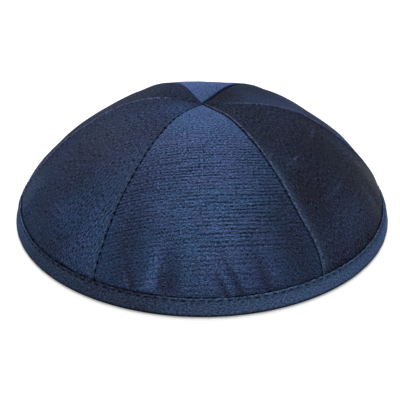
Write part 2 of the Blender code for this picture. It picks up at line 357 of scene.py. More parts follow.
@dataclass(frozen=True)
class Relief:
    """Everything that lifts or sinks the cloth away from its seams, and the sheen, highlights and shade
    painted on it there.
    """

    dome: Dome
    folds: tuple[Fold, ...]
    creases: tuple[Crease, ...]
    patches: tuple[Patch, ...]
    billow: float = 0.30 * MM
    billow_size: float = 17.0 * MM
    ripple: float = 0.12 * MM
    ripple_size: float = 5.5 * MM
    ripple_shift: tuple[float, float, float] = (7.0, 3.0, 5.0)
    ditch_mark: float = 3.2 * MM
    ditch_width: float = 0.30 * MM
    ditch_shade: float = 0.5
    ditch_change: float = 1.6
    ditch_darkest: float = 0.95
    cut_off: float = 3.0

    def across(self, bearing: float, centre: float, level: Level) -> float:
        """How far the cloth at a bearing lies past another one, in millimetres."""
        return math.radians(turn_between(bearing, centre)) * level.radius * self.dome.half_width / MM

    def up(self, height: float, level: Level) -> float:
        """How far up the cloth a level lies past a height, both in millimetres."""
        per_sweep = (self.dome.half_width + self.dome.height) / 2.0 / MM
        return (self.dome.sweep(self.dome.at_height(height * MM)) - self.dome.sweep(level)) * per_sweep

    def fold(self, mark: Mark, bearing: float, level: Level) -> None:
        """Draw the cloth in where the stitches fold it, and paint light along the fold through its tone, or
        shade where the tone is below 0.
        """
        above = self.dome.above_binding(level) / MM
        if above <= 0.0:
            return
        for fold in self.folds:
            across = self.across(bearing, fold.bearing, level) - fold.lean * above
            width = fold.before if across < 0.0 else fold.after
            if above < fold.reach and abs(across) < self.cut_off * width:
                fade = 1.0 - smooth_step(above / fold.reach)
                mark.inward += fold.depth * MM * bell(across, width) * fade * self.dome.emerged(level)
                mark.tone += fold.tone * math.exp(-((across / width) ** 4)) * fade

    def crease(self, mark: Mark, bearing: float, level: Level) -> None:
        """Sink the cloth at its dents, raise it at its ridges, and paint a highlight on the fine ones."""
        for crease in self.creases:
            across = self.across(bearing, crease.bearing, level)
            if abs(across) > self.cut_off * crease.length:
                continue
            up = self.up(crease.height, level)
            slant = math.radians(crease.slant)
            along = across * math.cos(slant) + up * math.sin(slant)
            beside = up * math.cos(slant) - across * math.sin(slant)
            strength = bell(along, crease.length) * bell(beside, crease.width)
            mark.inward += crease.depth * MM * strength * self.dome.emerged(level)
            mark.ridge += crease.shine * strength

    def tint(self, mark: Mark, bearing: float, level: Level) -> None:
        """Paint sheen and shade into the cloth's tone in its soft patches, and a pale sheen in the highlight
        colour.
        """
        for patch in self.patches:
            across = self.across(bearing, patch.bearing, level)
            strength = bell(across, patch.across) * bell(self.up(patch.height, level), patch.up)
            mark.tone += patch.tone * strength
            mark.ridge += patch.haze * strength

    def ditch(self, mark: Mark, bearing: float, level: Level) -> None:
        """Paint shade into the ditch over the binding, darker in some places along the rim than in others.
        """
        # A noise along the rim, which sets how dark the painted shade is there.
        press = noise.noise(plan_direction(bearing) * (self.dome.half_width / self.ditch_mark))
        depth = 1.0 - smooth_step(self.dome.above_binding(level) / self.ditch_width)
        shade = min(max(self.ditch_shade + self.ditch_change * press, 0.0), self.ditch_darkest)
        mark.shadow += shade * depth

    def slackness(self, place: Vector) -> float:
        """The soft waves of cloth that nothing pulls tight, at a place on the even dome."""
        slow = noise.noise(place / self.billow_size)
        quick = noise.noise(place / self.ripple_size + Vector(self.ripple_shift))
        return slow * self.billow + quick * self.ripple


@dataclass
class Tree:
    """A node tree under construction."""

    tree: bpy.types.NodeTree

    def add(self, kind: str, **settings: object) -> Node:
        """Add a node of a kind, with its properties."""
        node = self.tree.nodes.new(kind)
        for name, value in settings.items():
            setattr(node, name, value)
        return node

    def feed(self, socket: Socket, value: object) -> None:
        """Link a socket to another one, or set its value."""
        if isinstance(value, Socket):
            self.tree.links.new(value, socket)
        else:
            socket.default_value = value

    def filled(self, node: Node, *values: object) -> Socket:
        """Feed a node's inputs in order, and give its first output."""
        for socket, value in zip(node.inputs, values, strict=False):
            self.feed(socket, value)
        return node.outputs[0]

    def calculate(self, operation: str, *values: object, clamp: bool = False) -> Socket:
        """A Math node's result from sockets or numbers, kept between 0 and 1 where it is clamped."""
        return self.filled(self.add("ShaderNodeMath", operation=operation, use_clamp=clamp), *values)

    def times(self, first: object, second: object) -> Socket:
        """The product of two values."""
        return self.calculate("MULTIPLY", first, second)

    def plus(self, first: object, second: object, clamp: bool = False) -> Socket:
        """The sum of two values, kept between 0 and 1 where it is clamped."""
        return self.calculate("ADD", first, second, clamp=clamp)

    def centred(self, value: object) -> Socket:
        """A value less a half, so that a noise swings about 0."""
        return self.calculate("SUBTRACT", value, 0.5)

    def vector(self, operation: str, first: object, second: object) -> Socket:
        """A Vector Math node's vector."""
        return self.filled(self.add("ShaderNodeVectorMath", operation=operation), first, second)

    def joined(self, *parts: object) -> Socket:
        """A vector put together from its parts."""
        return self.filled(self.add("ShaderNodeCombineXYZ"), *parts)

    def split(self, vector: object) -> tuple[Socket, ...]:
        """A vector's three parts."""
        node = self.add("ShaderNodeSeparateXYZ")
        self.feed(node.inputs[0], vector)
        return tuple(node.outputs)

    def spread(
        self, value: object, low: float, high: float, to_low: float = 0.0, to_high: float = 1.0
    ) -> Socket:
        """A clamped Map Range from low..high to to_low..to_high."""
        return self.filled(self.add("ShaderNodeMapRange", clamp=True), value, low, high, to_low, to_high)

    def mix(self, factor: object, first: object, second: object, blend: str = "MIX") -> Socket:
        """A colour Mix node's colour: this much of the second one over the first."""
        node = self.add("ShaderNodeMix", data_type="RGBA", blend_type=blend)
        for index, value in ((0, factor), (6, first), (7, second)):
            self.feed(node.inputs[index], value)
        return node.outputs[2]

    def attribute(self, name: str) -> Socket:
        """A value kept on the mesh."""
        return self.add("ShaderNodeAttribute", attribute_name=name).outputs["Fac"]

    def cloud(self, vector: object, detail: float = 2.0, roughness: float = 0.5) -> Socket:
        """A Noise texture's value, one cell to a unit of the vector."""
        node = self.add("ShaderNodeTexNoise", noise_dimensions="3D")
        values = {"Vector": vector, "Scale": 1.0, "Detail": detail, "Roughness": roughness}
        for name, value in values.items():
            self.feed(node.inputs[name], value)
        return node.outputs["Fac"]


class ShaderGroup:
    """A shader node group that is built once and placed wherever it is needed."""

    name: str = ""
    vectors: tuple[str, ...] = ()
    values: dict[str, float] = {}
    colours: dict[str, Colour] = {}
    outputs: dict[str, SocketKind] = {}

    def wire(self, tree: Tree, given: Node, result: Node) -> None:
        """Join the group's input to its output."""
        raise NotImplementedError

    def group(self) -> bpy.types.NodeTree:
        """The node group, made the first time."""
        found = bpy.data.node_groups.get(self.name)
        if found:
            return found
        made = bpy.data.node_groups.new(self.name, "ShaderNodeTree")
        for name in self.vectors:
            made.interface.new_socket(name, in_out="INPUT", socket_type=SocketKind.VECTOR.value)
        for kind, table in ((SocketKind.VALUE, self.values), (SocketKind.COLOUR, self.colours)):
            for name, default in table.items():
                socket = made.interface.new_socket(name, in_out="INPUT", socket_type=kind.value)
                socket.default_value = default
        for name, kind in self.outputs.items():
            made.interface.new_socket(name, in_out="OUTPUT", socket_type=kind.value)
        tree = Tree(made)
        self.wire(tree, tree.add("NodeGroupInput"), tree.add("NodeGroupOutput"))
        return made

    def place(self, tree: Tree, **values: object) -> Node:
        """Put the group into a tree.

        Args:
            tree: where it goes.
            values: its inputs by name, with _ for a space.

        Returns:
            The group's node.
        """
        node = tree.add("ShaderNodeGroup")
        node.node_tree = self.group()
        for name, value in values.items():
            tree.feed(node.inputs[name.replace("_", " ")], value)
        return node


class RibGroup(ShaderGroup):
    """The satin's slubs: lines across the cloth, wavering a little and broken off here and there."""

    name = "slub_ribs"
    vectors = ("Vector",)
    values = {"Pitch": 1.45, "Slack": 0.0, "Length": 11.0, "Waver": 0.9}
    outputs = {"Ribs": SocketKind.VALUE}
    waver_cells = (0.07, 0.12, 1.0)
    break_rows = 0.8
    break_noise = (3.0, 0.65)
    break_range = (0.32, 0.58)

    def wire(self, tree: Tree, given: Node, result: Node) -> None:
        """Wavering lines, set wider apart away from the crown, each broken off by a long thin noise."""
        ask = given.outputs
        across, along, _ = tree.split(ask["Vector"])
        slack = tree.times(tree.times(along, along), ask["Slack"])
        rows = tree.calculate("DIVIDE", along, ask["Pitch"])
        rows = tree.plus(rows, tree.times(slack, 0.5))
        drift = tree.cloud(tree.vector("MULTIPLY", ask["Vector"], self.waver_cells))
        drift = tree.times(tree.centred(drift), ask["Waver"])
        phase = tree.times(tree.plus(rows, drift), math.tau)
        lines = tree.spread(tree.calculate("SINE", phase), -1.0, 1.0)
        reach = tree.calculate("DIVIDE", across, ask["Length"])
        long_thin = tree.joined(reach, tree.times(rows, self.break_rows))
        breaks = tree.spread(tree.cloud(long_thin, *self.break_noise), *self.break_range)
        tree.feed(result.inputs["Ribs"], tree.times(lines, breaks))


class GrainGroup(ShaderGroup):
    """The yarns themselves: strokes along both threads, so that they cross."""

    name = "yarn_grain"
    vectors = ("Vector",)
    values = {"Yarn": 0.7, "Reach": 2.5, "Cross": 0.7}
    outputs = {"Grain": SocketKind.VALUE}
    warp_stroke = (1.0, 0.5, 1.0)
    contrast = (0.25, 0.75)

    def wire(self, tree: Tree, given: Node, result: Node) -> None:
        """Two stretched noises at right angles, each as thick as a yarn: the weft's reach is in yarns."""
        ask = given.outputs
        yarns = tree.vector("DIVIDE", ask["Vector"], tree.joined(*[ask["Yarn"]] * 3))
        weft_stroke = tree.joined(tree.calculate("DIVIDE", 1.0, ask["Reach"]), 1.0)
        weft = tree.cloud(tree.vector("MULTIPLY", yarns, weft_stroke), 1.0)
        warp = tree.cloud(tree.vector("MULTIPLY", yarns, self.warp_stroke), 1.0)
        crossing = tree.times(tree.centred(warp), ask["Cross"])
        grain = tree.spread(tree.plus(weft, crossing), *self.contrast)
        tree.feed(result.inputs["Grain"], grain)


class SatinGroup(ShaderGroup):
    """Shot satin: blue yarn over a darker ground, from the ribs, the grain, the seams and the patches, with
    shade and highlights painted from its layers.
    """

    name = "shot_satin"
    vectors = ("Vector", "Place")
    values = {"Tone": 0.5, "Shadow": 0.0, "Ridge": 0.0, "Gleam": 0.0, "Roughness": 0.6}
    values |= {"Rib Depth": 0.5, "Rib Pitch": 1.45, "Rib Slack": 0.0}
    values |= {"Grain Depth": 0.5, "Yarn Size": 0.7, "Yarn Reach": 2.5, "Yarn Cross": 0.7}
    colours = {
        "Yarn Colour": (0.1, 0.1, 0.1, 1.0),
        "Ground Colour": (0.02, 0.02, 0.02, 1.0),
        "Highlight Colour": (0.125, 0.155, 0.29, 1.0),
        "Gleam Colour": (0.075, 0.135, 0.26, 1.0),
    }
    outputs = {
        "Colour": SocketKind.COLOUR,
        "Roughness": SocketKind.VALUE,
        "Metallic": SocketKind.VALUE,
        "Height": SocketKind.VALUE,
    }
    shade_cells = (50.0, 50.0, 50.0)
    patch_cells = (38.0, 38.0, 70.0)
    hue_cells = (75.0, 75.0, 75.0)
    hue_range = (0.36, 0.64)
    greener = (0.91, 1.02, 0.98, 1.0)
    redder = (1.09, 0.98, 1.02, 1.0)
    rib_level = 0.3
    shade_depth = 0.6
    height_in_yarn = 0.25
    height_in_gloss = 0.12
    darkest = 0.15
    in_ditch = (1.0, 0.08)
    metal = (0.15, 0.80)
    patchy = (0.34, 0.58, 0.55, 1.0)
    above_hem = (0.014, 0.038, 0.38, 1.0)
    below_crown = (0.044, 0.052, 1.0, 0.30)
    on_bright = (0.30, 0.76, 0.30, 1.05)

    def wire(self, tree: Tree, given: Node, result: Node) -> None:
        """Yarn over ground, darker between the ribs, with painted shade from the shadow layer and painted
        highlights from the ridge and gleam layers.
        """
        ask = given.outputs
        vector = ask["Vector"]
        pitch, slack = ask["Rib Pitch"], ask["Rib Slack"]
        ribs = RibGroup().place(tree, Vector=vector, Pitch=pitch, Slack=slack).outputs[0]
        size, reach, cross = ask["Yarn Size"], ask["Yarn Reach"], ask["Yarn Cross"]
        grain = GrainGroup().place(tree, Vector=vector, Yarn=size, Reach=reach, Cross=cross).outputs[0]
        ribbed = tree.times(tree.calculate("SUBTRACT", self.rib_level, ribs), ask["Rib Depth"])
        ribbed = tree.times(ribbed, self.band(tree, ask))
        grained = tree.times(tree.calculate("SUBTRACT", 0.5, grain), ask["Grain Depth"])
        height = tree.plus(ribbed, grained)
        shade = tree.cloud(tree.vector("MULTIPLY", ask["Place"], self.shade_cells), 3.0)
        shade = tree.times(tree.centred(shade), self.shade_depth)
        yarn = tree.plus(ask["Tone"], tree.times(height, self.height_in_yarn))
        yarn = tree.plus(yarn, shade, clamp=True)
        colour = tree.mix(yarn, ask["Ground Colour"], ask["Yarn Colour"])
        hue = tree.cloud(tree.vector("MULTIPLY", ask["Place"], self.hue_cells))
        turned = tree.mix(tree.spread(hue, *self.hue_range), self.greener, self.redder)
        colour = tree.mix(1.0, colour, turned, blend="MULTIPLY")
        # Painted highlights: the ridge layer mixes in the highlight colour, and the gleam layer mixes in the
        # gleam colour.
        colour = tree.mix(tree.plus(ask["Ridge"], 0.0, clamp=True), colour, ask["Highlight Colour"])
        colour = tree.mix(tree.plus(ask["Gleam"], 0.0, clamp=True), colour, ask["Gleam Colour"])
        lit = tree.calculate("MAXIMUM", tree.plus(height, 1.0), self.darkest)
        # Painted shade: the shadow layer darkens the colour, as far as in_ditch lets it.
        lit = tree.times(lit, tree.spread(ask["Shadow"], 0.0, 1.0, *self.in_ditch))
        gloss = tree.times(height, self.height_in_gloss)
        rough = tree.calculate("SUBTRACT", ask["Roughness"], gloss)
        results = {
            "Colour": tree.mix(1.0, colour, lit, blend="MULTIPLY"),
            "Roughness": tree.calculate("MAXIMUM", rough, ask["Shadow"]),
            "Metallic": tree.spread(yarn, 0.0, 1.0, *self.metal),
            "Height": height,
        }
        for name, value in results.items():
            tree.feed(result.inputs[name], value)

    def band(self, tree: Tree, ask: bpy.types.bpy_prop_collection) -> Socket:
        """How plainly the ribs show: most half way up and on bright yarn, least at hem and crown."""
        height = tree.split(ask["Place"])[2]
        patchy = tree.cloud(tree.vector("MULTIPLY", ask["Place"], self.patch_cells), 1.0)
        patchy = tree.spread(patchy, *self.patchy)
        shown = tree.times(tree.spread(height, *self.above_hem), tree.spread(height, *self.below_crown))
        return tree.times(patchy, tree.times(shown, tree.spread(ask["Tone"], *self.on_bright)))


@dataclass(frozen=True)
class SatinFinish:
    """A satin: yarn over a darker ground, glossy across its threads and not along them."""

    name: str
    yarn_colour: Colour
    rib_depth: float
    grain_depth: float
    thread_turn: float
    roughness: float = 0.60
    ground_colour: Colour = (0.0165, 0.017, 0.0265, 1.0)
    rib_pitch: float = 1.45
    rib_slack: float = 0.0
    yarn_size: float = 0.45
    yarn_reach: float = 2.5
    yarn_cross: float = 0.7
    anisotropy: float = 0.9
    specular: float = 0.06
    specular_tint: Colour = (0.30, 0.36, 0.55, 1.0)
    relief: float = 0.10 * MM

    def woven_in(self) -> dict[str, object]:
        """The values that the satin group takes, by its inputs' names."""
        taken = {name.replace(" ", "_") for name in SatinGroup.values | SatinGroup.colours}
        return {name.title(): value for name, value in vars(self).items() if name.title() in taken}

    def material(self) -> bpy.types.Material:
        """The finished material."""
        made = bpy.data.materials.new(self.name)
        made.use_nodes = True
        tree = Tree(made.node_tree)
        shader = made.node_tree.nodes["Principled BSDF"]
        cloth = SatinGroup().place(
            tree,
            Vector=tree.add("ShaderNodeUVMap", uv_map=WEAVE_MAP).outputs[0],
            Place=tree.add("ShaderNodeTexCoord").outputs["Object"],
            **{name.title(): tree.attribute(name) for name in LAYERS},
            **self.woven_in(),
        )
        bump = tree.add("ShaderNodeBump")
        bump.inputs["Strength"].default_value = 1.0
        bump.inputs["Distance"].default_value = self.relief
        tree.feed(bump.inputs["Height"], cloth.outputs["Height"])
        tangent = tree.add("ShaderNodeTangent", direction_type="UV_MAP", uv_map=WEAVE_MAP)
        settings = {
            "Base Color": cloth.outputs["Colour"],
            "Roughness": cloth.outputs["Roughness"],
            "Metallic": cloth.outputs["Metallic"],
            "Normal": bump.outputs["Normal"],
            "Tangent": tangent.outputs[0],
            "Specular IOR Level": self.specular,
            "Specular Tint": self.specular_tint,
            "Anisotropic": self.anisotropy,
            "Anisotropic Rotation": self.thread_turn,
        }
        for name, value in settings.items():
            tree.feed(shader.inputs[name], value)
        return made


@dataclass(frozen=True)
class ThreadFinish:
    """Sewing thread: matt, with the twist of its plies."""

    name: str
    colour: Colour
    roughness: float = 0.7
    specular: float = 0.1
    ply_cells: tuple[float, float, float] = (2600.0, 2600.0, 5200.0)
    ply_shade: float = 0.45

    def material(self) -> bpy.types.Material:
        """The finished material."""
        made = bpy.data.materials.new(self.name)
        made.use_nodes = True
        tree = Tree(made.node_tree)
        shader = made.node_tree.nodes["Principled BSDF"]
        place = tree.add("ShaderNodeTexCoord").outputs["Object"]
        plies = tree.cloud(tree.vector("MULTIPLY", place, self.ply_cells), 1.0)
        dark = tuple(self.ply_shade * part for part in self.colour[:3]) + (1.0,)
        tree.feed(shader.inputs["Base Color"], tree.mix(plies, dark, self.colour))
        shader.inputs["Roughness"].default_value = self.roughness
        shader.inputs["Specular IOR Level"].default_value = self.specular
        return made


def finished_object(name: str, source: bmesh.types.BMesh, material: bpy.types.Material) -> bpy.types.Object:
    """Make a smooth object at the origin of a finished mesh.

    Args:
        name: the object's name.
        source: the mesh, which is freed.
        material: its material.

    Returns:
        The object, linked to the scene.
    """
    mesh = bpy.data.meshes.new(name)
    source.to_mesh(mesh)
    source.free()
    mesh.shade_smooth()
    mesh.materials.append(material)
    made = bpy.data.objects.new(name, mesh)
    bpy.context.scene.collection.objects.link(made)
    return made


@dataclass
class Gore:
    """One panel of the crown, from its hem inside the binding to its tip under the crown's middle."""

    node: str
    dome: Dome
    relief: Relief
    low_seam: Seam
    high_seam: Seam
    finish: SatinFinish
    # The gore's share of blue yarn, partly painted sheen: more on the front and back gores.
    tone: float
    grain: float = 0.0
    slot: str = "crown_satin"
    columns: int = 120
    hem_rows: int = 6
    ditch_rows: int = 16
    rows: int = 180
    wall: float = 0.9 * MM
    tip_radius: float = 0.25 * MM
    crowding: float = 0.42
    ditch_span: float = 2.0 * MM
    hem_start: float = 1.4
    axis_share: float = 0.4
    weave_centre: float = -34.0 * MM
    droop: float = 0.0035

    def edges(self, level: Level) -> tuple[float, float]:
        """The bearings of the gore's two seams at a level."""
        low = self.low_seam.at(level)
        return low, low + (self.high_seam.at(level) - low) % 360.0

    def sweeps(self) -> list[float]:
        """The sweep angle of each row of cloth, closest together where it leaves the binding."""
        top = self.dome.binding_top
        bottom = self.dome.binding_wall * self.hem_start
        heights = [bottom, top - self.ditch_span / 2.0, top + self.ditch_span]
        stops = [self.dome.sweep(self.dome.at_height(height)) for height in heights]
        stops.append(self.dome.sweep(self.dome.at_radius(self.tip_radius)))
        counts = (self.hem_rows, self.ditch_rows, self.rows - self.hem_rows - self.ditch_rows)
        found = [stops[0]]
        for first, last, count in zip(stops, stops[1:], counts, strict=False):
            found += [first + (last - first) * step / count for step in range(1, count + 1)]
        return found

    def weave_at(self, point: Vector, axis: float) -> tuple[float, float]:
        """Where a point lies in the flat cloth, whose threads run straight across the gore's axis.

        Args:
            point: the point on the dome.
            axis: the bearing of the gore's middle.

        Returns:
            Its place across and along the threads, in millimetres.
        """
        spoke = point - Vector((0.0, 0.0, self.weave_centre))
        outward = plan_direction(axis)
        aside = plan_direction(axis + 90.0)
        across = spoke.length * math.asin(spoke.dot(aside) / spoke.length) / MM
        along = -spoke.length * math.atan2(spoke.dot(outward), spoke.z) / MM
        along += self.droop * min(across, 0.0) ** 2
        turn = math.radians(self.grain)
        cosine, sine = math.cos(turn), math.sin(turn)
        return across * cosine - along * sine, across * sine + along * cosine

    def bend(self, sheet: bmesh.types.BMesh) -> dict[int, tuple[tuple[float, float], Mark]]:
        """Bend the flat grid over the dome.

        Args:
            sheet: a grid from -1 to 1 both ways.

        Returns:
            Each vertex's place in the flat cloth and its marks.
        """
        dome = self.dome
        axis = sum(self.edges(dome.at_height(self.axis_share * dome.height))) / 2.0
        levels = []
        climb, last = 0.0, None
        for sweep in self.sweeps():
            level = dome.at_sweep(sweep)
            spot = Vector((level.radius * dome.half_width, level.height * dome.height))
            climb += (spot - last).length if last else 0.0
            last = spot
            levels.append((level, climb, *self.edges(level)))
        cloth = {}
        for vert in sheet.verts:
            level, climb, low, high = levels[round((vert.co.y + 1.0) / 2.0 * self.rows)]
            place = vert.co.x + self.crowding * (vert.co.x - vert.co.x**3)
            half = (high - low) / 2.0
            bearing = (low + high) / 2.0 + place * half
            half_arc = math.radians(half) * level.radius * dome.half_width
            emerged = dome.emerged(level)
            mark = Mark(tone=self.tone)
            self.low_seam.press(mark, self.low_seam.after, (1.0 + place) * half_arc, climb, level.radius)
            self.high_seam.press(mark, self.high_seam.before, (1.0 - place) * half_arc, climb, level.radius)
            share = dome.plan_share(bearing, low, high, level)
            even = dome.point(bearing, level, share, 0.0)
            mark.inward += self.relief.slackness(even)
            mark.inward = dome.hem_inset * (1.0 - emerged) + mark.inward * emerged
            for work in (self.relief.fold, self.relief.crease, self.relief.tint, self.relief.ditch):
                work(mark, bearing, level)
            mark.shadow = min(mark.shadow, 1.0)
            vert.co = dome.point(bearing, level, share, mark.inward)
            cloth[vert.index] = (self.weave_at(even, axis), mark)
        return cloth

    def build(self) -> bpy.types.Object:
        """Make the gore, its cloth directions and its wall.

        Returns:
            The piece, riding on its body in the CAD node's place.
        """
        sheet = bmesh.new()
        bmesh.ops.create_grid(sheet, x_segments=self.columns, y_segments=self.rows, size=1.0)
        sheet.verts.ensure_lookup_table()
        cloth = self.bend(sheet)
        weave = sheet.loops.layers.uv.new(WEAVE_MAP)
        layers = {name: sheet.verts.layers.float.new(name) for name in LAYERS}
        for vert in sheet.verts:
            for name, layer in layers.items():
                vert[layer] = getattr(cloth[vert.index][1], name)
        for face in sheet.faces:
            for loop in face.loops:
                loop[weave].uv = cloth[loop.vert.index][0]
        bmesh.ops.recalc_face_normals(sheet, faces=sheet.faces[:])
        if sum(face.normal.z for face in sheet.faces) < 0.0:
            bmesh.ops.reverse_faces(sheet, faces=sheet.faces[:])
        piece = finished_object(f"{self.node}_satin", sheet, self.finish.material())
        wall = piece.modifiers.new("wall", "SOLIDIFY")
        wall.thickness = self.wall
        wall.offset = -1.0
        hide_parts(self.node)
        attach(piece, BODY)
        return piece


@dataclass(frozen=True)
class Stretch:
    """A stretch of the binding, in degrees, and the painted light and shade it adds there, most at its
    middle.
    """

    bearing: float
    spread: float
    tone: float = 0.0
    gleam: float = 0.0
    haze: float = 0.0
    crest: float = 0.0
    hidden: float = 0.0
    dull: float = 0.0


@dataclass
class Binding:
    """The folded tape round the rim, drawn down along its topstitching."""

    dome: Dome
    finish: SatinFinish
    stretches: tuple[Stretch, ...]
    node: str = "rim_binding"
    slot: str = "binding_satin"
    steps: int = 560
    face_rows: int = 28
    fold_steps: int = 6
    edge_round: float = 0.36 * MM
    fold_round: float = 1.3 * MM
    inner_face: float = 3.2 * MM
    stitch_pitch: float = 3.7 * MM
    stitch_drop: float = 0.80 * MM
    channel: float = 0.38 * MM
    channel_width: float = 0.33 * MM
    channel_even: float = 0.75
    crest_place: float = 0.24 * MM
    crest_width: float = 0.26 * MM
    strip_width: float = 0.56 * MM
    under_start: float = 0.60
    body_place: float = 2.40 * MM
    body_width: float = 1.04 * MM
    body_dull: float = 0.15
    puff: float = 0.16 * MM
    drag: float = 0.16 * MM
    drag_length: float = 4.0 * MM
    drag_height: float = 5.0 * MM
    tone: float = 0.72
    tone_change: float = 0.16
    tone_waves: float = 6.0
    dash_length: float = 0.62
    dash_edge: float = 0.75

    @property
    def stitch_count(self) -> int:
        """How many whole stitches fit round the rim."""
        return round(math.pi * (self.dome.half_width + self.dome.half_depth) / self.stitch_pitch)

    def arc(self, centre: tuple[float, float], radius: float, first: float, last: float) -> list[Vector]:
        """Points of the section on an arc.

        Args:
            centre: its centre, as (outward, height).
            radius: its radius.
            first: the angle it starts at, in degrees.
            last: the angle it ends at.

        Returns:
            The points.
        """
        points = []
        for step in range(self.fold_steps + 1):
            angle = math.radians(first + (last - first) * step / self.fold_steps)
            turned = Vector((math.cos(angle), 0.0, math.sin(angle)))
            points.append(Vector((centre[0], 0.0, centre[1])) + radius * turned)
        return points

    def section(self) -> list[Vector]:
        """The tape's section as (outward, 0, height), from the bottom up its outer face and back."""
        outer, inner = self.dome.proud, -self.inner_face
        top, wall = self.dome.binding_top, self.dome.binding_wall
        edge, fold = self.edge_round, self.fold_round
        face = top - edge - fold
        rows = [fold + face * row / self.face_rows for row in range(1, self.face_rows)]
        return [
            *self.arc((outer - fold, fold), fold, -90.0, 0.0),
            *[Vector((outer, 0.0, height)) for height in rows],
            *self.arc((outer - edge, top - edge), edge, 0.0, 180.0),
            Vector((outer - 2.0 * edge, 0.0, wall)),
            Vector((inner + 2.0 * edge, 0.0, wall)),
            *self.arc((inner + edge, top - edge), edge, 0.0, 180.0),
            *[Vector((inner, 0.0, height)) for height in reversed(rows)],
            *self.arc((inner + fold, fold), fold, 180.0, 270.0),
        ]

    def lift(self, bearing: float, height: float) -> float:
        """How far the tape's outer face stands out at a place: its stitched channel, puffs and drags."""
        beat = math.cos(math.tau * bearing / 360.0 * self.stitch_count)
        below = self.dome.binding_top - height
        channel = -self.channel * bell(below - self.stitch_drop, self.channel_width)
        channel *= self.channel_even + (1.0 - self.channel_even) * beat
        strip = -self.puff * bell(below, self.stitch_drop) * beat
        body = self.puff * bell(below - self.body_place, self.body_width)
        spot = plan_direction(bearing) * (self.dome.half_width / self.drag_length)
        spot.z = height / self.drag_height
        return channel + strip + body + self.drag * noise.noise(spot)

    def shade(self, bearing: float, height: float) -> Mark:
        """The painted shade and light on the tape's outer face at a place: its stitches, its top edge, its
        foot and its stretches.
        """
        below = self.dome.binding_top - height
        parts = {name: 0.0 for name in ("tone", "gleam", "haze", "crest", "hidden", "dull")}
        for stretch in self.stretches:
            strength = bell(turn_between(bearing, stretch.bearing), stretch.spread)
            for name in parts:
                parts[name] += getattr(stretch, name) * strength
        beat = math.cos(math.tau * bearing / 360.0 * self.stitch_count)
        # Painted shade in the stitch channel, dashed with the stitches and lighter on the lit side.
        dash = smooth_step(self.dash_length + self.dash_edge * beat) * (1.0 - parts["hidden"])
        channel = bell(below - self.stitch_drop, self.channel_width)
        # Painted shade low on the tape, near the floor.
        under = 1.0 - smooth_step(height / self.fold_round - self.under_start)
        # Painted highlight along the tape's top edge.
        crest = bell(below - self.crest_place, self.crest_width)
        # Painted shade on the shaded side, most in a strip under the top edge.
        dull = parts["dull"] * (self.body_dull + bell(below, self.strip_width))
        change = self.tone_change * noise.noise(plan_direction(bearing) * self.tone_waves)
        return Mark(
            tone=self.tone + parts["tone"] + change - dull,
            shadow=max(channel * dash, under),
            ridge=parts["crest"] * crest + parts["haze"],
            gleam=parts["gleam"],
        )

    def build(self) -> bpy.types.Object:
        """Spin the section round the rim and give it its relief.

        Returns:
            The piece, riding on its body in the CAD node's place.
        """
        ring = bmesh.new()
        corners = []
        for point in self.section():
            lean = self.dome.half_width * self.dome.at_height(point.z).radius
            corners.append(ring.verts.new((lean + point.x, 0.0, point.z)))
        edges = [ring.edges.new((corners[step - 1], corners[step])) for step in range(len(corners))]
        bmesh.ops.spin(
            ring,
            geom=corners + edges,
            cent=(0.0, 0.0, 0.0),
            axis=(0.0, 0.0, 1.0),
            angle=math.tau,
            steps=self.steps,
            use_merge=True,
        )
        weave = ring.loops.layers.uv.new(WEAVE_MAP)
        layers = {name: ring.verts.layers.float.new(name) for name in LAYERS}
        girth = math.tau * self.dome.half_width / MM
        middle = self.dome.half_width - self.inner_face / 2.0
        places = {}
        for vert in ring.verts:
            bearing = math.degrees(math.atan2(vert.co.x, -vert.co.y))
            height = vert.co.z
            outside = math.hypot(vert.co.x, vert.co.y) > middle * self.dome.at_height(height).radius
            places[vert] = (bearing / 360.0 * girth, height / MM if outside else -height / MM)
            mark = self.shade(bearing, height) if outside else Mark(tone=self.tone)
            for name, layer in layers.items():
                vert[layer] = getattr(mark, name)
            if outside:
                lift = self.lift(bearing, height) * smooth_step(height / self.fold_round)
                vert.co += plan_direction(bearing) * lift
        for face in ring.faces:
            first = places[face.loops[0].vert][0]
            for loop in face.loops:
                along, up = places[loop.vert]
                along += girth * round((first - along) / girth)
                loop[weave].uv = (along, up)
        depth_share = self.dome.half_depth / self.dome.half_width
        bmesh.ops.scale(ring, vec=(1.0, depth_share, 1.0), verts=ring.verts)
        bmesh.ops.recalc_face_normals(ring, faces=ring.faces[:])
        piece = finished_object("rim_binding_satin", ring, self.finish.material())
        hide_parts(self.node)
        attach(piece, BODY)
        return piece


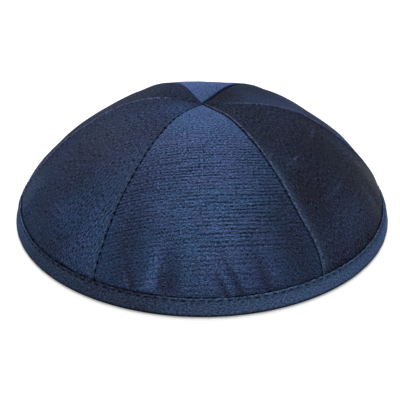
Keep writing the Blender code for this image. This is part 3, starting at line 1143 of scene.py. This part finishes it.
@dataclass
class Topstitching:
    """The row of stitches that holds the binding, each one a short length of thread sunk in its channel."""

    binding: Binding
    finish: ThreadFinish
    slot: str = "binding_satin"
    length_share: float = 0.66
    thickness: float = 0.44 * MM
    height: float = 0.528 * MM
    sunk: float = 0.08 * MM
    sides: int = 8

    def build(self) -> bpy.types.Object:
        """Lay the stitches round the rim as one mesh.

        Returns:
            The piece, riding on its body.
        """
        dome = self.binding.dome
        row = bmesh.new()
        height = dome.binding_top - self.binding.stitch_drop
        rim = dome.half_width * dome.at_height(height).radius + dome.proud
        lean = math.atan2(*reversed(dome.normal(dome.at_height(height))))
        size = Vector((self.length_share * self.binding.stitch_pitch, self.thickness, self.height)) / 2.0
        for index in range(self.binding.stitch_count):
            bearing = 360.0 * index / self.binding.stitch_count
            reach = rim + self.binding.lift(bearing, height)
            direction = plan_direction(bearing)
            centre = direction * (reach - self.sunk)
            centre.y *= dome.half_depth / dome.half_width
            centre.z = height
            turn = Matrix.Rotation(math.radians(bearing), 4, "Z") @ Matrix.Rotation(-lean, 4, "X")
            bmesh.ops.create_uvsphere(
                row,
                u_segments=self.sides,
                v_segments=self.sides,
                radius=1.0,
                matrix=Matrix.Translation(centre) @ turn @ Matrix.Diagonal((*size, 1.0)),
            )
        piece = finished_object("topstitching", row, self.finish.material())
        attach(piece, BODY)
        return piece


@dataclass(frozen=True)
class Softbox:
    """A rectangular softbox: where it hangs, what it faces, its width and length, and its power in watts."""

    name: str
    place: tuple[float, float, float]
    target: tuple[float, float, float]
    size: tuple[float, float]
    watts: float

    def hang(self) -> None:
        """Make the lamp and turn it to its target."""
        data = bpy.data.lights.new(self.name, "AREA")
        data.shape = "RECTANGLE"
        data.size, data.size_y = self.size
        data.energy = self.watts
        lamp = bpy.data.objects.new(self.name, data)
        lamp.location = self.place
        lamp.rotation_euler = (Vector(self.target) - lamp.location).to_track_quat("-Z", "Y").to_euler()
        bpy.context.scene.collection.objects.link(lamp)


@dataclass
class Studio:
    """A plain pale floor, soft lights and the camera at the photograph's angle."""

    softboxes: tuple[Softbox, ...]
    floor_size: float = 6.0
    floor_gap: float = 0.1 * MM
    floor_colour: Colour = (0.90, 0.90, 0.90, 1.0)
    floor_glow: float = 0.30
    room_light: float = 0.10
    distance: float = 0.391
    elevation: float = 30.55
    lens: float = 72.9
    aim: tuple[float, float, float] = (-0.00097, 0.00125, 0.00217)

    def floor(self) -> bpy.types.Object:
        """The floor, a hair below the cap."""
        plane = bmesh.new()
        bmesh.ops.create_grid(plane, x_segments=1, y_segments=1, size=self.floor_size / 2.0)
        bmesh.ops.translate(plane, vec=(0.0, 0.0, -self.floor_gap), verts=plane.verts)
        material = bpy.data.materials.new("floor")
        material.use_nodes = True
        shader = material.node_tree.nodes["Principled BSDF"]
        shader.inputs["Base Color"].default_value = self.floor_colour
        shader.inputs["Roughness"].default_value = 0.9
        shader.inputs["Emission Color"].default_value = (1.0, 1.0, 1.0, 1.0)
        shader.inputs["Emission Strength"].default_value = self.floor_glow
        made = finished_object("floor", plane, material)
        return made

    def light(self) -> None:
        """The white room and its softboxes."""
        world = bpy.data.worlds.new("white_room")
        world.use_nodes = True
        back = world.node_tree.nodes["Background"]
        back.inputs["Color"].default_value = (1.0, 1.0, 1.0, 1.0)
        back.inputs["Strength"].default_value = self.room_light
        bpy.context.scene.world = world
        for softbox in self.softboxes:
            softbox.hang()

    def camera(self) -> None:
        """The camera, aimed so that the cap lies in the frame as in the photograph."""
        data = bpy.data.cameras.new("camera")
        data.lens = self.lens
        angle = math.radians(self.elevation)
        place = Vector((0.0, -math.cos(angle), math.sin(angle))) * self.distance
        camera = bpy.data.objects.new("camera", data)
        camera.location = place
        camera.rotation_euler = (Vector(self.aim) - place).to_track_quat("-Z", "Y").to_euler()
        data.clip_start = 0.01
        bpy.context.scene.collection.objects.link(camera)
        bpy.context.scene.camera = camera

    def build(self) -> None:
        """Set the studio up."""
        self.floor()
        self.light()
        self.camera()
        bpy.context.scene.view_settings.view_transform = "Standard"


# A roll's shine, gleam and crest are painted highlights along its seam; a seam's dark and line are painted
# shade in its groove.
FLAT_ROLL = SeamRoll(0.0, 1.0 * MM)
LOW_ROLL = SeamRoll(0.08 * MM, 1.0 * MM)
NEAR_ROLL = SeamRoll(0.30 * MM, 0.36 * MM, 0.62)
FAR_ROLL = SeamRoll(0.40 * MM, 0.40 * MM, 0.72)

SIDE_LOOK = {"groove": 0.0, "dark": 0.0, "line": 0.1}

SEAMS = {
    "front_left": Seam(
        329.2,
        -2.5,
        SeamRoll(0.08 * MM, 0.8 * MM, 0.05, gleam=0.36, gleam_reach=4.5 * MM),
        FLAT_ROLL,
        groove_width=0.36 * MM,
        dimple=0.9,
        dark=0.85,
        line=0.35,
    ),
    "front_right": Seam(
        34.2,
        -1.5,
        FLAT_ROLL,
        SeamRoll(0.35 * MM, 0.62 * MM, 0.0, 3.0, 0.62, crest=0.62),
        groove_width=0.40 * MM,
        dimple=0.5,
        stitch=2.6 * MM,
        bow=1.6,
    ),
    "right": Seam(
        94.2, -20.0, NEAR_ROLL, FAR_ROLL, bow=7.0, bow_level=0.50, bow_spread=0.20, **SIDE_LOOK
    ),
    "back_right": Seam(145.0, 0.5, LOW_ROLL, LOW_ROLL, groove=0.9 * MM, groove_width=0.7 * MM),
    "back_left": Seam(211.0, -6.0, LOW_ROLL, LOW_ROLL, groove=0.2 * MM, dark=0.2, line=0.4),
    "left": Seam(275.0, -22.0, FAR_ROLL, NEAR_ROLL, **SIDE_LOOK),
}


class Cut(Enum):
    """How a gore is cut from the cloth: the turn of its ribs, in degrees."""

    ACROSS = 0.0
    ALONG = 90.0


# A fold's tone paints light along it, or shade below 0.
# bearing, depth, before, after, reach
FOLDS = (
    Fold(-25.0, 0.9, 4.0, 5.5, 34.0),
    Fold(-21.6, -0.4, 1.8, 1.6, 7.0, lean=0.3, tone=0.30),
    Fold(-18.6, 1.1, 1.8, 2.2, 13.0, lean=-0.55, tone=-0.50),
    Fold(-16.0, -1.0, 3.4, 3.4, 20.0, lean=0.12, tone=0.90),
    Fold(-10.8, 2.0, 1.8, 6.2, 21.0, lean=0.04, tone=-0.44),
    Fold(-2.0, 0.4, 1.6, 1.6, 9.0, lean=-0.3),
    Fold(7.0, 1.1, 1.3, 0.7, 13.0, lean=-0.40, tone=-0.60),
    Fold(11.4, 1.3, 1.4, 0.8, 20.0, lean=-0.45, tone=-0.60),
    Fold(18.8, 1.1, 2.6, 2.6, 22.0, lean=-0.15, tone=-0.40),
    Fold(26.5, 0.5, 2.0, 3.0, 10.0),
    Fold(43.0, 0.6, 2.5, 3.0, 11.0),
    Fold(47.5, -0.7, 1.2, 1.4, 8.0, lean=0.2),
    Fold(50.5, 1.0, 1.4, 1.4, 9.0, lean=0.2),
    Fold(54.0, -0.7, 1.2, 1.5, 9.0, lean=0.2),
    Fold(58.0, 0.9, 1.8, 2.2, 10.0, lean=0.1),
    Fold(76.0, 0.8, 4.0, 5.0, 23.0),
    Fold(108.0, 0.9, 2.5, 3.5, 13.0, lean=0.2),
    Fold(123.0, 1.2, 3.0, 4.0, 17.0, lean=-0.1),
    Fold(160.0, 1.1, 2.0, 3.5, 12.0, lean=0.2),
    Fold(170.0, 0.9, 1.4, 2.0, 9.0, lean=-0.3),
    Fold(176.0, 1.7, 1.8, 4.0, 19.0, lean=0.1),
    Fold(194.0, 1.0, 3.0, 2.0, 13.0, lean=-0.2),
    Fold(227.0, 1.0, 2.5, 4.0, 15.0, lean=0.1),
    Fold(244.0, 1.2, 3.5, 2.2, 15.0, lean=-0.2),
    Fold(262.0, 0.7, 2.5, 2.5, 12.0),
    Fold(290.0, 1.1, 4.0, 4.5, 21.0, lean=0.1),
    Fold(305.0, 0.8, 2.5, 3.0, 12.0, lean=-0.1),
    Fold(321.0, 0.8, 3.0, 3.0, 15.0),
)

# A crease's shine is a painted highlight.
# bearing, height, slant, depth, width, length
CREASES = (
    Crease(-47.5, 15.8, 14.0, 0.9, 1.7, 5.5),
    Crease(-52.0, 21.0, 10.0, -0.5, 3.0, 7.0),
    Crease(-64.0, 17.5, -20.0, 0.9, 4.0, 8.0),
    Crease(81.0, 42.6, 2.0, -0.12, 0.5, 7.0, shine=0.28),
    Crease(48.0, 41.7, 4.0, -0.12, 0.5, 6.0, shine=0.24),
    Crease(58.5, 29.0, 3.0, -0.12, 0.5, 7.0, shine=0.28),
    Crease(122.0, 46.0, 0.0, -1.2, 11.0, 12.0),
    Crease(104.0, 29.0, 0.0, -0.6, 9.0, 12.0),
    Crease(222.0, 50.0, 0.0, 0.8, 7.0, 10.0),
    Crease(128.0, 24.0, 10.0, 1.0, 4.0, 9.0),
    Crease(190.0, 26.5, -8.0, 0.9, 3.5, 9.0),
    Crease(246.0, 23.0, 14.0, 1.0, 3.5, 9.0),
)

# A patch's tone paints sheen, or shade below 0; its haze is a pale painted sheen.
# bearing, height, across, up, tone
PATCHES = (
    Patch(-36.0, 13.0, 14.0, 22.0, 0.30),
    Patch(-50.0, 22.0, 9.0, 7.0, 0.22),
    Patch(-46.5, 15.5, 4.5, 2.2, -0.16),
    Patch(-52.0, 11.5, 7.0, 3.0, -0.20),
    Patch(-35.5, 25.0, 6.0, 13.0, 0.36),
    Patch(-64.0, 45.0, 28.0, 18.0, -0.30, haze=0.18),
    Patch(-52.0, 56.4, 5.5, 5.0, 0.42),
    Patch(-38.0, 39.0, 8.0, 14.0, 0.20),
    Patch(-56.0, 12.5, 7.0, 7.0, 0.16),
    Patch(-72.0, 22.0, 6.0, 6.0, 0.18),
    Patch(-80.0, 17.0, 12.0, 9.0, 0.20, haze=0.14),
    Patch(-27.0, 41.0, 6.0, 10.0, -0.26),
    Patch(-16.0, 11.0, 4.0, 6.0, 0.0, haze=0.16),
    Patch(-25.5, 23.0, 8.5, 27.0, -0.27),
    Patch(30.0, 20.0, 9.5, 34.0, -0.37),
    Patch(60.0, 50.0, 14.0, 9.0, 0.08, haze=0.03),
    Patch(54.0, 18.0, 16.0, 10.0, 0.36, haze=0.05),
    Patch(78.0, 18.0, 10.0, 10.0, 0.03, haze=0.03),
    Patch(4.0, 28.0, 20.0, 9.0, 0.08),
    Patch(2.0, 53.5, 16.0, 9.0, 0.14),
    Patch(128.0, 56.5, 10.0, 8.0, -0.26),
    Patch(100.0, 33.0, 14.0, 16.0, 0.12),
)

# Painted highlights and shade on the binding, stretch by stretch.
STRETCHES = (
    Stretch(60.0, 46.0, gleam=0.30),
    Stretch(-78.0, 14.0, gleam=0.40),
    Stretch(55.0, 38.0, crest=0.48, hidden=0.5),
    Stretch(24.0, 24.0, tone=0.15, gleam=0.55, haze=0.10),
    Stretch(-32.0, 34.0, tone=-0.30),
    Stretch(-38.0, 42.0, dull=0.24),
)

NAVY_YARN = (0.051, 0.091, 0.203, 1.0)
TAPE_YARN = (0.064, 0.104, 0.205, 1.0)

RIBBED_SATIN = SatinFinish("ribbed_satin", NAVY_YARN, 1.15, 1.35, 0.25, rib_pitch=1.09, rib_slack=0.0047)
LENGTHWISE_SATIN = SatinFinish(
    "lengthwise_satin",
    NAVY_YARN,
    rib_depth=0.75,
    grain_depth=2.2,
    thread_turn=0.0,
    rib_pitch=1.7,
    yarn_size=0.37,
    yarn_reach=4.2,
    yarn_cross=0.75,
)
TAPE_SATIN = SatinFinish("tape_satin", TAPE_YARN, 0.15, 1.3, 0.125, roughness=0.62)
# Near black: the navy thread, darkened further as painted shade of the channel it lies in.
THREAD = ThreadFinish("navy_thread", (0.008, 0.011, 0.024, 1.0))

SOFTBOXES = (
    Softbox("overhead_softbox", (0.0, 0.25, 1.0), (0.0, 0.0, 0.0), (0.50, 1.5), 14.0),
    Softbox("front_softbox", (0.0, -1.1, 0.55), (0.0, 0.0, 0.03), (0.3, 0.5), 1.5),
)


@dataclass(frozen=True)
class GorePlan:
    """One gore's seams, cloth, tone and cut."""

    low: str
    high: str
    finish: SatinFinish
    tone: float
    cut: Cut


# The tones are partly painted sheen: the front and back gores get far more blue yarn than the side gores.
GORES = {
    "panel_front": GorePlan("front_left", "front_right", RIBBED_SATIN, 0.71, Cut.ACROSS),
    "panel_front_right": GorePlan("front_right", "right", LENGTHWISE_SATIN, 0.05, Cut.ALONG),
    "panel_back_right": GorePlan("right", "back_right", RIBBED_SATIN, 0.23, Cut.ACROSS),
    "panel_back": GorePlan("back_right", "back_left", RIBBED_SATIN, 0.82, Cut.ACROSS),
    "panel_back_left": GorePlan("back_left", "left", LENGTHWISE_SATIN, 0.18, Cut.ALONG),
    "panel_front_left": GorePlan("left", "front_left", LENGTHWISE_SATIN, 0.36, Cut.ALONG),
}


def main() -> None:
    """Build the pieces in order and report each one."""
    dome = Dome.from_frame("rim_binding", list(GORES))
    relief = Relief(dome, FOLDS, CREASES, PATCHES)
    makers = [
        Gore(node, dome, relief, SEAMS[plan.low], SEAMS[plan.high], plan.finish, plan.tone, plan.cut.value)
        for node, plan in GORES.items()
    ]
    binding = Binding(dome, TAPE_SATIN, STRETCHES)
    for maker in [*makers, binding, Topstitching(binding, THREAD)]:
        piece = maker.build()
        log.info("%s: %d faces", piece.name, len(piece.data.polygons))
    Studio(SOFTBOXES).build()


if __name__ == "__main__":
    logging.basicConfig(level=logging.INFO, format="%(message)s")
    main()
